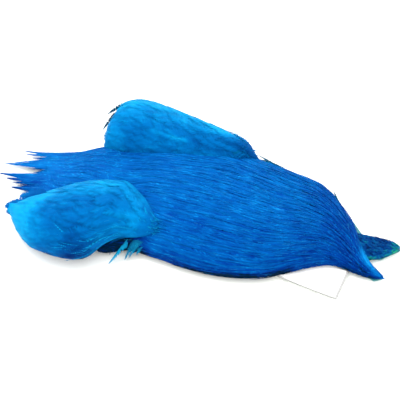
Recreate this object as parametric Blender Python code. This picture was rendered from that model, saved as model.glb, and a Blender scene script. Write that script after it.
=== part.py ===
"""Dyed rooster cape: the dried neck skin of a cockerel, feather side up, lying flat on its card.

The head end points along +X and the long hackle tips along -X. The skin lies at the bottom, the
neck hackle covers its middle, and a puffed patch of broad shoulder feathers sits on each side.
Blender units are metres; the tables and sizes below are in millimetres and go through MM.
"""

import math

import bmesh
import bpy
from mathutils import Vector

MM = 0.001

# Layers, from the surface up
CARD_THICK = 0.5
CARD_LENGTH = 100.0
CARD_WIDTH = 50.0
CARD_CORNER = (115.5, -61.5)
CARD_TURN_DEG = -16.0
GAP = 0.3
SKIN_THICK = 1.1
SKIN_BOTTOM = CARD_THICK + GAP
SKIN_TOP = SKIN_BOTTOM + SKIN_THICK
FEATHER_BOTTOM = SKIN_TOP + GAP

# The middle of the whole cape in the tables' frame, which the origin is moved to
MIDDLE = (-3.75, -6.7)

# Feather locks: how far the middle line sinks at the root and rises at the tip, and how much
# deeper a lock reaches into its form than out of it
ROOT_SINK = 0.6
TIP_RISE = 0.7
KEEL = 2.6
# Locks in a row: every other row is set off by this share of a lock either way, a lock may be
# shorter than its row's length by this share, and it draws in towards the crest by the last one
ROW_OFFSET = 0.25
LENGTH_SPREAD = 0.18
DRAW_IN = 0.04

# The gap that the shoulders and the head points keep from the bare form of the hackle, which
# leaves room for the hackle's locks
SHOULDER_CLEARANCE = 3.9
NECK_CLEARANCE = 3.2
# Points of a mesh closer than this are one
WELD = 0.001
# How far the skin's trim reaches below the surface that the cape lies on
TRIM_DEPTH = 1.0

# Wisps: the height of the tips, how far before the tip they leave the form, and their thickness
WISP_TIP_HEIGHT = 2.4
WISP_FREE_LENGTH = 26.0
WISP_THICK = 2.6
LOOSE_BOW = 1.0
LOOSE_THICK = 1.4

# Each form is a row of sections across X: x, near edge y, far edge y, lowest, widest and highest z
HACKLE = [
    (-134, -30, -5, 1.2, 3.0, 5.0),
    (-122, -38, 9, 0.9, 3.6, 9.0),
    (-106, -46, 19, FEATHER_BOTTOM, 4.2, 14.0),
    (-84, -53, 27, FEATHER_BOTTOM, 4.8, 19.0),
    (-55, -58, 34, FEATHER_BOTTOM, 5.0, 22.5),
    (-20, -63, 42, FEATHER_BOTTOM, 5.0, 25.0),
    (15, -66, 48, FEATHER_BOTTOM, 5.0, 26.0),
    (42, -64.5, 47, FEATHER_BOTTOM, 5.0, 24.5),
    (64, -56, 41, FEATHER_BOTTOM, 4.8, 21.0),
    (84, -46, 33, FEATHER_BOTTOM, 4.6, 17.0),
    (98, -38, 23, FEATHER_BOTTOM, 4.2, 14.0),
    (109, -34, 9, FEATHER_BOTTOM, 4.0, 11.0),
    (117, -32, -3, FEATHER_BOTTOM, 3.8, 8.4),
    (124, -30, -12, FEATHER_BOTTOM, 3.6, 6.0),
    (128, -26, -19, 2.6, 3.4, 4.4),
]
RIGHT_SHOULDER = [
    (-131, -58, -53, 9, 12, 15),
    (-126, -67, -48, 3, 12, 20),
    (-117, -75.5, -41, 0.6, 12, 26),
    (-103, -83, -32, 0, 13, 31),
    (-87, -86, -23, 0, 14, 34),
    (-70, -86, -17, 0.4, 15, 35),
    (-54, -75, -16, 3, 16, 34),
    (-42, -65, -22, 6, 17, 32),
    (-32, -58, -30, 9, 18, 29),
    (-23, -53.5, -40, 12, 18, 25),
    (-18, -51, -46, 14, 17.5, 21),
]
LEFT_SHOULDER = [
    (-92, 42, 54, 3, 10, 17),
    (-89, 30, 61, 1, 10, 25),
    (-82, 20, 69, 0, 11, 30),
    (-66, 16, 73, 0, 12, 33),
    (-44, 18, 72, 0, 12, 34),
    (-20, 21, 67, 0, 12, 33),
    (2, 24, 61, 0, 11, 30),
    (20, 28, 54, 0.6, 10, 27),
    (31, 34, 49, 2, 9, 22),
    (37, 39, 45, 4, 8, 14),
]
RIGHT_HEAD_POINT = [
    (110.5, -36.2, -31.8, 2.6, 3.6, 5.2),
    (119, -37.6, -28.5, FEATHER_BOTTOM, 3.8, 7.4),
    (127, -38.6, -24.0, FEATHER_BOTTOM, 3.8, 8.0),
    (134, -38.8, -28.0, FEATHER_BOTTOM, 3.6, 6.6),
    (140, -38.0, -33.0, FEATHER_BOTTOM, 3.4, 5.2),
    (145, -36.6, -35.6, 2.6, 3.2, 4.0),
]
LEFT_HEAD_POINT = [
    (121.5, -13, -8, 2.6, 3.6, 5.4),
    (125, -21, -2.4, FEATHER_BOTTOM, 3.8, 6.4),
    (132, -23.5, -1.8, FEATHER_BOTTOM, 3.8, 6.8),
    (140, -20, -1.6, FEATHER_BOTTOM, 3.6, 6.2),
    (147, -15, -3.0, FEATHER_BOTTOM, 3.4, 5.2),
    (152.5, -9.4, -7.2, 2.6, 3.2, 4.0),
]
# The edge of the dried skin, once round from the tip of the left head point
SKIN_EDGE = [
    (153.5, -8.5), (143, -1.6), (126, -1.4), (114, 6), (100, 24), (80, 34.5), (50, 45), (25, 50),
    (-10, 51), (-50, 50), (-76, 45), (-86, 34), (-90, 20), (-98, 6), (-104, -14), (-104, -42),
    (-98, -66), (-80, -75), (-58, -66), (-40, -55), (0, -56), (42, -57), (70, -49), (92, -37),
    (112, -35.6), (130, -38.2), (145, -36.4), (134, -28), (129.5, -23.6), (141, -19.4),
]
# Long hackles that run out past the mass: root x, turn at the root, tip x, tip y, width
WISPS = [
    (-84, 0.46, -152, 8.5, 6.0),
    (-82, 0.32, -149, 3.5, 5.5),
    (-80, 0.14, -161, -8.5, 6.5),
    (-86, -0.02, -134, -14.5, 8.0),
    (-78, -0.18, -158, -19.0, 6.5),
    (-80, -0.32, -148, -22.5, 6.0),
    (-84, -0.48, -143, -29.0, 6.0),
    (-88, -0.62, -132, -33.0, 6.0),
]
# Loose feathers under the right shoulder: root, tip, both as x, y, z, and width
LOOSE_FEATHERS = [
    ((-30.0, -62.2, 7.6), (-46.8, -76.0, 0.9), 4.2),
    ((-20.0, -63.6, 5.6), (-34.5, -71.0, 0.9), 6.0),
]


# A lock's width and thickness follow a sine over its length, raised to this power
SWELL_POWER = 0.8
# A sphere's point this close to its axis is its root or its tip
POLE_RADIUS = 0.001


def clear_scene():
    for obj in list(bpy.data.objects):
        bpy.data.objects.remove(obj)


def blend_between(keys, values, at):
    """A smooth curve through the values at the keys, which go up."""
    last = len(keys) - 1
    i = 0
    while i < last - 1 and at > keys[i + 1]:
        i += 1
    span = keys[i + 1] - keys[i]
    t = min(1.0, max(0.0, (at - keys[i]) / span))

    def slope(k):
        a, b = max(0, k - 1), min(last, k + 1)
        return (values[b] - values[a]) / (keys[b] - keys[a])

    rise = values[i + 1] - values[i]
    first, second = slope(i) * span, slope(i + 1) * span
    return values[i] + t * (
        first + t * ((3 * rise - 2 * first - second) + t * (first + second - 2 * rise))
    )


class Form:
    """A puffed body whose sections across X are flattened ovals, as a table of stations gives them."""

    def __init__(self, stations, fullness=2.3, grow=0.0):
        self.keys = [row[0] for row in stations]
        self.keys[0] -= grow
        self.keys[-1] += grow
        self.columns = list(zip(*stations))[1:]
        self.fullness = fullness
        self.grow = grow

    def section(self, x):
        near, far, low, waist, top = (
            blend_between(self.keys, column, x) for column in self.columns
        )
        near, far = near - self.grow, far + self.grow
        return near, far, low - self.grow, waist, top + self.grow

    def point(self, x, turn):
        """turn is -1 at the near edge, 0 on the crest, 1 at the far edge, and 2 or -2 underneath."""
        near, far, low, waist, top = self.section(x)
        angle = turn * math.pi / 2
        power = 2 / self.fullness
        across = math.copysign(abs(math.sin(angle)) ** power, math.sin(angle))
        rise = math.copysign(abs(math.cos(angle)) ** power, math.cos(angle))
        height = top - waist if rise > 0 else waist - low
        y = (near + far) / 2 + across * (far - near) / 2
        return Vector((x, y, waist + rise * height))

    def axes(self, x, turn):
        """The point, the way along the form towards -X, the way across it, and straight out."""
        step = 0.02
        low, high = max(self.keys[0], x - 1), min(self.keys[-1], x + 1)
        here = self.point(x, turn)
        along = (self.point(low, turn) - self.point(high, turn)).normalized()
        across = (self.point(x, turn + step) - self.point(x, turn - step)).normalized()
        out = across.cross(along).normalized()
        return here, along, out.cross(along) * -1, out


def to_metres(point):
    return Vector(((point[0] - MIDDLE[0]) * MM, (point[1] - MIDDLE[1]) * MM, point[2] * MM))


def material(name, colour, roughness):
    made = bpy.data.materials.new(name)
    made.use_nodes = True
    shader = made.node_tree.nodes["Principled BSDF"]
    shader.inputs["Base Color"].default_value = (*colour, 1.0)
    shader.inputs["Roughness"].default_value = roughness
    shader.inputs["Metallic"].default_value = 0.0
    return made


def link(name, data, collection, look=None):
    obj = bpy.data.objects.new(name, data)
    collection.objects.link(obj)
    if look:
        obj.data.materials.append(look)
    return obj


def form_mesh(name, form, rows, around):
    """The form as one closed mesh: rings of points, skinned between, with a face over each end."""
    mesh = bmesh.new()
    start, end = form.keys[0], form.keys[-1]
    rings = []
    for row in range(rows):
        share = row / (rows - 1)
        x = start + (end - start) * share
        turns = [-2 + 4 * k / around for k in range(around)]
        rings.append([mesh.verts.new(to_metres(form.point(x, turn))) for turn in turns])
    for one, other in zip(rings, rings[1:]):
        for k in range(around):
            after = (k + 1) % around
            mesh.faces.new((one[k], one[after], other[after], other[k]))
    mesh.faces.new(rings[0])
    mesh.faces.new(rings[-1])
    bmesh.ops.recalc_face_normals(mesh, faces=mesh.faces)
    made = bpy.data.meshes.new(name)
    mesh.to_mesh(made)
    mesh.free()
    return made


def lock_mesh(name, frame_at, width, thick, blunt, keel=1.0, rings=5):
    """A flat, pointed lock: a four-sided sphere drawn out along frame_at(share), root to tip.

    A blunt above 1 puts its widest place nearer the tip. keel is how much deeper it reaches below
    its edges than above them."""
    mesh = bmesh.new()
    bmesh.ops.create_uvsphere(mesh, u_segments=4, v_segments=rings, radius=1.0)
    for vert in mesh.verts:
        share = math.acos(max(-1.0, min(1.0, vert.co.z))) / math.pi
        radius = math.hypot(vert.co.x, vert.co.y)
        is_pole = radius < POLE_RADIUS
        side, rise = (0.0, 0.0) if is_pole else (vert.co.x / radius, vert.co.y / radius)
        here, along, across, out = frame_at(share)
        swell = math.sin(math.pi * share ** blunt) ** SWELL_POWER if 0 < share < 1 else 0.0
        height = thick / 2 * (keel if rise < 0 else 1)
        point = here + across * (side * swell * width / 2) + out * (rise * swell * height)
        vert.co = to_metres(point)
    bmesh.ops.recalc_face_normals(mesh, faces=mesh.faces)
    made = bpy.data.meshes.new(name)
    mesh.to_mesh(made)
    mesh.free()
    return made


def lock_on_form(form, root_x, tip_x, root_turn, tip_turn):
    """The run of a lock over a form: sunk at its root, proud of the form towards its tip."""

    def frame_at(share):
        x = root_x + (tip_x - root_x) * share
        turn = root_turn + (tip_turn - root_turn) * share
        here, along, across, out = form.axes(x, turn)
        return here + out * (share * (ROOT_SINK + TIP_RISE) - ROOT_SINK), along, across, out

    return frame_at


def straight_run(root, tip, sag):
    """The run of a lock in the open, from root to tip, with a bow of the height sag."""
    root, tip = Vector(root), Vector(tip)
    along = (tip - root).normalized()
    across = Vector((0, 0, 1)).cross(along).normalized()
    out = along.cross(across)

    def frame_at(share):
        bow = 4 * sag * share * (1 - share)
        return root.lerp(tip, share) + Vector((0, 0, bow)), along, across, out

    return frame_at


def rows_of_locks(form, parts, name, rows, width_share, thick, blunt, turns=(-0.84, 0.84)):
    """Rows of overlapping locks over a form, between two turns.

    rows holds the root's x, the length and how many lie across. Rows are set off by half a lock."""
    for row, (root_x, length, count) in enumerate(rows):
        for k in range(count):
            spread = (k + 0.5 + (ROW_OFFSET if row % 2 else -ROW_OFFSET)) / count
            turn = turns[0] + (turns[1] - turns[0]) * spread
            shorter = 1 - LENGTH_SPREAD * abs(math.sin(2.4 * k + 1.7 * row))
            end = max(form.keys[0] + 2, root_x - length * shorter)
            near, far = form.section((root_x + end) / 2)[:2]
            width = width_share * (far - near) / count
            run = lock_on_form(form, root_x, end, turn, turn * (1 - DRAW_IN))
            mesh = lock_mesh(f"{name}_{row}_{k}", run, width, thick, blunt, KEEL)
            link(mesh.name, mesh, parts)


def wisp_run(form, root_x, root_turn, tip_x, tip_y):
    """A long hackle that leaves the form and sinks to the surface at its tip."""
    start = form.point(root_x, root_turn)
    tip = Vector((tip_x, tip_y, WISP_TIP_HEIGHT))
    leaves_at = max(form.keys[0] + 6, tip_x + WISP_FREE_LENGTH)
    reach = form.point(leaves_at, root_turn * 0.9)

    def place(share):
        one, other = start.lerp(reach, share), reach.lerp(tip, share)
        return one.lerp(other, share)

    def frame_at(share):
        along = (place(min(1.0, share + 0.05)) - place(max(0.0, share - 0.05))).normalized()
        across = Vector((0, 0, 1)).cross(along).normalized()
        return place(share), along, across, along.cross(across)

    return frame_at


def fuse(obj, parts):
    """Joins the locks in a collection to the form that they grow from."""
    union = obj.modifiers.new("locks", "BOOLEAN")
    union.operation = "UNION"
    union.operand_type = "COLLECTION"
    union.collection = parts
    for part in parts.objects:
        as_cutter(part)


def cut(obj, cutter):
    trim = obj.modifiers.new("trim_" + cutter.name, "BOOLEAN")
    trim.operation = "DIFFERENCE"
    trim.object = cutter
    trim.solver = "MANIFOLD"


def settle(obj):
    """Applies an object's modifiers and keeps its main body alone, so that a pocket closed in
    under the locks is filled and a chip that a trim cuts loose is gone."""
    bpy.context.view_layer.update()
    graph = bpy.context.evaluated_depsgraph_get()
    made = bpy.data.meshes.new_from_object(obj.evaluated_get(graph))
    mesh = bmesh.new()
    mesh.from_mesh(made)
    loose = set(mesh.faces)
    bodies = []
    while loose:
        body = [loose.pop()]
        for face in body:
            for neighbour in {other for edge in face.edges for other in edge.link_faces} & loose:
                loose.remove(neighbour)
                body.append(neighbour)
        bodies.append(body)
    bodies.sort(key=len)
    spare = [face for body in bodies[:-1] for face in body]
    bmesh.ops.delete(mesh, geom=spare, context="FACES")
    mesh.to_mesh(made)
    mesh.free()
    obj.modifiers.clear()
    obj.data = made


def new_collection(name):
    made = bpy.data.collections.new(name)
    bpy.context.scene.collection.children.link(made)
    return made


def as_cutter(obj):
    obj.hide_render = True
    obj.display_type = "WIRE"
    return obj


def make_hackle(cape, look):
    form = Form(HACKLE)
    hackle = link("neck_hackle", form_mesh("neck_hackle", form, 15, 14), cape, look)
    locks = new_collection("hackle_locks")
    front_rows = [(123, 22, 3), (108, 36, 4)]
    rows = [(88, 50, 5), (60, 60, 6), (28, 64, 6), (-6, 64, 7), (-38, 62, 7), (-68, 50, 6)]
    rows_of_locks(form, locks, "front", front_rows, 1.1, 3.0, 0.8, turns=(-0.55, 0.55))
    rows_of_locks(form, locks, "hackle", rows, 1.25, 3.4, 0.8)
    for k, (root_x, turn, tip_x, tip_y, width) in enumerate(WISPS):
        run = wisp_run(form, root_x, turn, tip_x, tip_y)
        mesh = lock_mesh(f"wisp_{k}", run, width, WISP_THICK, 0.7)
        link(mesh.name, mesh, locks)
    fuse(hackle, locks)
    settle(hackle)


def make_shoulder(name, stations, rows, turns, cape, look, cutters):
    form = Form(stations, fullness=2.15)
    shoulder = link(name, form_mesh(name, form, 12, 12), cape, look)
    scales = new_collection(name + "_scales")
    rows_of_locks(form, scales, name, rows, 1.3, 3.6, 1.15, turns)
    fuse(shoulder, scales)
    for cutter in cutters:
        cut(shoulder, cutter)
    settle(shoulder)


def make_head_point(name, stations, rows, cape, look, cutter):
    form = Form(stations, fullness=2.1)
    point = link(name, form_mesh(name, form, 8, 10), cape, look)
    locks = new_collection(name + "_locks")
    rows_of_locks(form, locks, name, rows, 1.2, 1.6, 0.9)
    fuse(point, locks)
    cut(point, cutter)
    settle(point)


def skin_sheet(name, spread, bottom, top, collection):
    """A flat sheet between two heights, whose edge is the skin's, moved out by spread."""
    curve = bpy.data.curves.new(name, "CURVE")
    curve.dimensions = "2D"
    curve.fill_mode = "BOTH"
    curve.extrude = (top - bottom) / 2 * MM
    curve.offset = spread * MM
    curve.resolution_u = 2
    edge = curve.splines.new("BEZIER")
    edge.bezier_points.add(len(SKIN_EDGE) - 1)
    for knot, (x, y) in zip(edge.bezier_points, SKIN_EDGE):
        knot.co = to_metres((x, y, 0))
        knot.handle_left_type = knot.handle_right_type = "AUTO"
    edge.use_cyclic_u = True
    outline = link(name + "_outline", curve, collection)
    outline.location.z = (bottom + top) / 2 * MM
    bpy.context.view_layer.update()
    graph = bpy.context.evaluated_depsgraph_get()
    made = bpy.data.meshes.new_from_object(outline.evaluated_get(graph))
    mesh = bmesh.new()
    mesh.from_mesh(made)
    bmesh.ops.remove_doubles(mesh, verts=mesh.verts, dist=WELD * MM)
    mesh.to_mesh(made)
    mesh.free()
    sheet = link(name, made, collection)
    sheet.matrix_world = outline.matrix_world
    bpy.data.objects.remove(outline)
    return sheet


def make_card(cape, look):
    turn = math.radians(CARD_TURN_DEG)
    back, up = Vector((-math.cos(turn), -math.sin(turn))), Vector((-math.sin(turn), math.cos(turn)))
    corner = Vector(CARD_CORNER)
    middle = corner + back * CARD_LENGTH / 2 + up * CARD_WIDTH / 2
    mesh = bmesh.new()
    bmesh.ops.create_cube(mesh, size=1.0)
    bmesh.ops.scale(mesh, vec=(CARD_LENGTH * MM, CARD_WIDTH * MM, CARD_THICK * MM), verts=mesh.verts)
    made = bpy.data.meshes.new("backing_card")
    mesh.to_mesh(made)
    mesh.free()
    card = link("backing_card", made, cape, look)
    card.rotation_euler.z = turn
    card.location = to_metres((middle.x, middle.y, CARD_THICK / 2))
    return card


def make_loose_feathers(cape, look):
    for k, (root, tip, width) in enumerate(LOOSE_FEATHERS):
        name = f"loose_feather_{k + 1}"
        run = straight_run(root, tip, LOOSE_BOW)
        mesh = lock_mesh(name, run, width, LOOSE_THICK, 0.8, rings=8)
        link(name, mesh, cape, look)


def main():
    clear_scene()
    cape = new_collection("rooster_cape")
    cutters = new_collection("cutters")
    hackle_blue = material("hackle_blue", (0.004, 0.16, 0.62), 0.45)
    shoulder_blue = material("shoulder_blue", (0.004, 0.30, 0.80), 0.55)
    head_navy = material("head_navy", (0.006, 0.09, 0.33), 0.5)
    skin_teal = material("skin_teal", (0.05, 0.30, 0.40), 0.6)
    loose_teal = material("loose_teal", (0.02, 0.32, 0.46), 0.5)
    card_white = material("card_white", (0.9, 0.9, 0.88), 0.8)

    skin = skin_sheet("skin", 0, SKIN_BOTTOM, SKIN_TOP, cape)
    skin.data.materials.append(skin_teal)
    over_skin = as_cutter(
        skin_sheet("over_skin", 2 * GAP, -TRIM_DEPTH, FEATHER_BOTTOM, cutters)
    )
    shape = form_mesh("over_hackle", Form(HACKLE, grow=SHOULDER_CLEARANCE), 22, 20)
    over_hackle = as_cutter(link("over_hackle", shape, cutters))
    shape = form_mesh("over_neck", Form(HACKLE, grow=NECK_CLEARANCE), 22, 20)
    over_neck = as_cutter(link("over_neck", shape, cutters))

    make_hackle(cape, hackle_blue)
    right_rows = [(-22, 34, 3), (-44, 34, 4), (-66, 34, 5), (-90, 34, 5)]
    left_rows = [(34, 34, 3), (8, 36, 4), (-18, 36, 5), (-48, 34, 5)]
    make_shoulder(
        "right_shoulder_patch", RIGHT_SHOULDER, right_rows, (-1.02, 0.7), cape, shoulder_blue,
        [over_hackle, over_skin],
    )
    make_shoulder(
        "left_shoulder_patch", LEFT_SHOULDER, left_rows, (-0.7, 1.02), cape, shoulder_blue,
        [over_hackle, over_skin],
    )
    point_rows = [(143, 14, 2), (134, 14, 3)]
    make_head_point("right_head_point", RIGHT_HEAD_POINT, point_rows, cape, hackle_blue, over_neck)
    make_head_point("left_head_point", LEFT_HEAD_POINT, point_rows, cape, head_navy, over_neck)
    make_card(cape, card_white)
    make_loose_feathers(cape, loose_teal)


main()
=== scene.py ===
"""The looks of a dyed blue rooster cape: feathers with real barbs, laid over the forms of the part.

Lengths are in millimetres in the same tables as the part's source, and become metres in metres().
A place on a form is x along the cape and a turn around it: -1 near edge, 0 crest, 1 far edge.
"""

import math

import bmesh
import bpy
import numpy as np
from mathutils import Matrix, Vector


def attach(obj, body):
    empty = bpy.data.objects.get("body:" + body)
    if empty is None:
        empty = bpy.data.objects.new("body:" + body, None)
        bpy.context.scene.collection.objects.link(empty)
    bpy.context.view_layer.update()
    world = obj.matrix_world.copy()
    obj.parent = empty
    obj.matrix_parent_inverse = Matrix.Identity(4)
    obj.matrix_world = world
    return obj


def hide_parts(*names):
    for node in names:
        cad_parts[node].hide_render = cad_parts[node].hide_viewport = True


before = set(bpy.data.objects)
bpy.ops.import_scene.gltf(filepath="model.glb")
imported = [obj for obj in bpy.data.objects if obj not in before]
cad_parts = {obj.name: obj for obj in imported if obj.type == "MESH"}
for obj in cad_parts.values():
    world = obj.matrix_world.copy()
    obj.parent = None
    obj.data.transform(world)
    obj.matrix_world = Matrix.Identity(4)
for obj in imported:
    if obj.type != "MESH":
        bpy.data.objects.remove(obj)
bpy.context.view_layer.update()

MM = 0.001
# The part's origin in the tables' frame
MIDDLE = np.array([-3.75, -6.7, 0.0])
# How near the surface a feather may come
FLOOR_GAP = 0.15
# How square the sections of each form are, where 2 is an ellipse
HACKLE_FULLNESS = 2.3
SHOULDER_FULLNESS = 2.15
HEAD_FULLNESS = 2.1

# Stations of each form: x, near edge y, far edge y, lowest, widest and highest z.
# The hackle's form runs on into the near point of the fork.
HACKLE = [
    (-141, -27.5, 6.5, 0.8, 2.2, 3.4),
    (-130, -30.5, 8.5, 0.8, 3, 6),
    (-118, -37.5, 11.5, 0.9, 3.6, 9.5),
    (-104, -47, 16, 1, 4.2, 14),
    (-84, -55, 26.5, 1, 4.6, 19),
    (-55, -70, 34.5, 1, 4, 22.5),
    (-36, -63.2, 39.5, 1, 4.4, 24),
    (-15, -64.8, 43.5, 1, 4.6, 25.5),
    (15, -67.8, 47.4, 1, 4.8, 26),
    (42, -66.2, 44.3, 1, 4.8, 24.5),
    (64, -60, 40.6, 1, 4.6, 21.2),
    (84, -47.6, 36.8, 1, 4.4, 17.6),
    (98, -39.2, 28.2, 1, 4.2, 14.6),
    (109, -35.6, 16.4, 1, 4, 11.6),
    (117, -36.2, 6, 1, 3.8, 9.4),
    (124, -37.6, -8.5, 1, 3.7, 8.2),
    (131, -38.6, -21.8, 1, 3.6, 7.4),
    (138, -38.6, -29.4, 1.2, 3.4, 6.2),
    (145.5, -37, -34.6, 1.8, 3, 4.2),
]
# The stretches of it that have down under them: its broad part, and the near point
BROAD_HACKLE = HACKLE[2:-4]
NEAR_POINT = HACKLE[13:]
RIGHT_SHOULDER = [
    (-128.5, -61.5, -53, 6, 12, 18),
    (-125, -66, -51.5, 3, 12, 19.5),
    (-117, -74.2, -45.5, 0.6, 12, 24.5),
    (-103, -84, -35.5, 0, 13, 29.5),
    (-87, -87.6, -25, 0, 14, 33.4),
    (-70, -87.2, -16.5, 0.4, 14, 35),
    (-60.5, -82.8, -14.5, 1.5, 14, 34.8),
    (-52, -70.8, -14.5, 7, 16, 34.2),
    (-42, -63.2, -20, 9.5, 17, 32),
    (-30, -59.8, -30, 11, 18, 28.6),
    (-21, -56, -39, 13, 18, 25.2),
    (-14.5, -53, -45, 14.5, 17.5, 21.5),
]
LEFT_SHOULDER = [
    (-88, 27, 49, 1.5, 10, 18.5),
    (-85.4, 22, 58, 0.6, 11, 25.5),
    (-80.5, 19, 68.5, 0, 12, 32.5),
    (-66, 15.5, 74.2, 0, 12, 35.6),
    (-44, 17.5, 72, 0, 12, 33.8),
    (-20, 21, 66.5, 0, 12, 32),
    (2, 24, 61.5, 0, 11, 29.5),
    (18, 27.5, 56.5, 0.6, 10, 28),
    (27, 31, 52, 1.5, 9.5, 25.2),
    (34, 35.5, 45.8, 3, 8.5, 18),
    (39, 38.5, 43.5, 6, 9, 12),
]
LEFT_HEAD_POINT = [
    (112, -16, -1, 1.4, 3.6, 6.5),
    (125, -22, -2.2, 1.2, 3.8, 6.8),
    (132, -23.5, -1.6, 1.2, 3.8, 6.8),
    (140, -20, -1.6, 1.2, 3.6, 6.2),
    (146, -16, -1.9, 1.3, 3.5, 5.8),
    (150.5, -11.4, -3.2, 1.5, 3.3, 5.2),
    (154.6, -7.6, -5, 1.8, 2.8, 3.8),
]
# Tips that the hackle's left end breaks into: x, y, feathers, how much they spread, and the
# sideways slope that they come in on
WISPS = [
    (-154, 9.4, 16, 2, 0.02),
    (-150.5, 5.8, 16, 2.2, 0.05),
    (-143, 3.6, 14, 1.4, 0.02),
    (-163, -8.8, 24, 2.4, 0.2),
    (-149, -6.8, 20, 2, 0.12),
    (-141, -8.4, 14, 1.4, 0.02),
    (-135, -11, 14, 1.2, 0.02),
    (-162, -18.5, 20, 1.6, -0.01),
    (-154, -22, 18, 1.4, 0),
    (-147, -24.6, 18, 1.6, 0),
    (-142, -27, 18, 1.8, 0),
    (-147.5, -29.6, 20, 1.4, -0.03),
    (-134, -30.6, 12, 1.2, -0.06),
]
# Feathers that lie in the open: root, tip, width and bow
LOOSE_FEATHERS = [
    ((-36.6, -61, 14), (-46.8, -77, 0.9), 9, 1),
    ((-30, -57, 14.5), (-36.4, -71, 1.6), 6.5, 3.4),
    ((-28.5, -57, 14.5), (-33.6, -69.4, 2.6), 6.5, 3.2),
    ((-26.5, -57, 14.5), (-32.6, -67, 3.6), 7, 3),
    ((-24.5, -56.5, 14.3), (-29, -66.4, 4), 6.5, 2.8),
    ((-22.5, -56, 14), (-28, -64.5, 4.6), 7, 2.6),
]
# Round feathers that stand out at the near patch's left end
LOBES = [
    ((-111, -54, 22), (-136.2, -55.4, 11.8), 13, 1.6),
    ((-112, -60, 18), (-134.6, -57.6, 9.4), 11, 0.8),
    ((-101, -46, 26), (-127.2, -47, 16.6), 10, 1.6),
]
# Dark feathers past the far patch's left end: root x and y on the patch, tip, width and bow
FAR_EDGE_FEATHERS = [
    ((-78.5, 54), (-93.4, 50.2, 19.6), 5.4, 2),
    ((-81, 44), (-92.8, 37, 14.2), 5.4, 2),
]
# Dark feathers that stand off the hackle's far edge and the neck: root, tip, width and bow
FORK_STRAYS = [
    ((54, 38.5, 11.5), (33.6, 48.6, 11), 3.2, 0.8),
    ((58, 40, 9.5), (38.5, 46.8, 9.5), 3.2, 0.6),
    ((50, 38, 14), (37, 43, 12.5), 3, 1),
    ((104.1, 17.2, 8), (97.4, 29.6, 9.6), 2.6, 0.8),
]
# Soft light and dark places, partly blotches in the dye and partly painted shade, as low on the near
# patch's near side: x, y, reach along x, reach along y and how much lighter
DYE_AND_SHADE_SPOTS = [
    (-11, 34, 9, 7, -0.22),
    (13, 39.5, 16, 7, -0.20),
    (-5, 43, 8, 6, 0.16),
    (-70, 25, 12, 6, -0.16),
    (-107, -56, 8, 5, -0.12),
    (-78, -66, 18, 8, -0.10),
    (-27, 31, 12, 1.2, 0.3),
    # painted shade low on the near patch's near side
    (-66, -86, 15, 6, -0.4),
    (-130.5, -54.5, 5, 5, -0.35),
    (-121.5, -47, 4, 3, -0.2),
]
# How each dye goes from dark to light: the place on the ramp and the colour
HACKLE_DYE = [
    (0.0, (0.0005, 0.010, 0.030)), (0.12, (0.0004, 0.020, 0.16)), (0.28, (0.0005, 0.036, 0.23)),
    (0.55, (0.0006, 0.080, 0.325)), (0.78, (0.0010, 0.120, 0.41)), (1.0, (0.003, 0.21, 0.54)),
]
SHOULDER_DYE = [
    (0.0, (0.0003, 0.014, 0.10)), (0.25, (0.0004, 0.052, 0.21)), (0.5, (0.0004, 0.100, 0.32)),
    (0.75, (0.0008, 0.165, 0.42)), (1.0, (0.003, 0.26, 0.54)),
]
HEAD_DYE = [
    (0.0, (0.0008, 0.012, 0.07)), (0.3, (0.001, 0.036, 0.18)), (0.6, (0.002, 0.085, 0.24)),
    (0.8, (0.004, 0.20, 0.18)), (1.0, (0.02, 0.32, 0.17)),
]
LOOSE_DYE = [(0.0, (0.001, 0.02, 0.06)), (0.5, (0.003, 0.12, 0.26)), (1.0, (0.005, 0.27, 0.46))]
EDGE_DYE = [(0.0, (0.001, 0.02, 0.05)), (0.5, (0.002, 0.06, 0.12)), (1.0, (0.006, 0.16, 0.28))]
SKIN_STAIN = [(0.3, (0.01, 0.13, 0.17)), (0.7, (0.03, 0.26, 0.27))]
# The card's free corner, its turn in degrees, its size, and how far its bands of painted shadow
# reach in from the right edge and from the front edge
CARD_CORNER = np.array([116.2, -62.7])
CARD_TURN = 10
CARD_LENGTH, CARD_DEPTH, CARD_THICK = 100, 50, 1.1
CARD_SHADOW_BAND = (1.5, 1.1)

random = np.random.default_rng(7)


def metres(points):
    return (np.asarray(points, float) - MIDDLE) * MM


def ease(t):
    t = np.clip(t, 0.0, 1.0)
    return t * t * (3 - 2 * t)


def unit(vectors):
    return vectors / np.maximum(np.linalg.norm(vectors, axis=-1, keepdims=True), 1e-9)


def dot(one, other):
    return (one * other).sum(-1)


# Soft light and dark places: blotches in the dye, and painted shade
def dye_and_shade_spots(x, y):
    lighter = 0
    for at_x, at_y, reach_x, reach_y, amount in DYE_AND_SHADE_SPOTS:
        lighter = lighter + amount * np.exp(-((x - at_x) / reach_x) ** 2 - ((y - at_y) / reach_y) ** 2)
    return lighter


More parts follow.
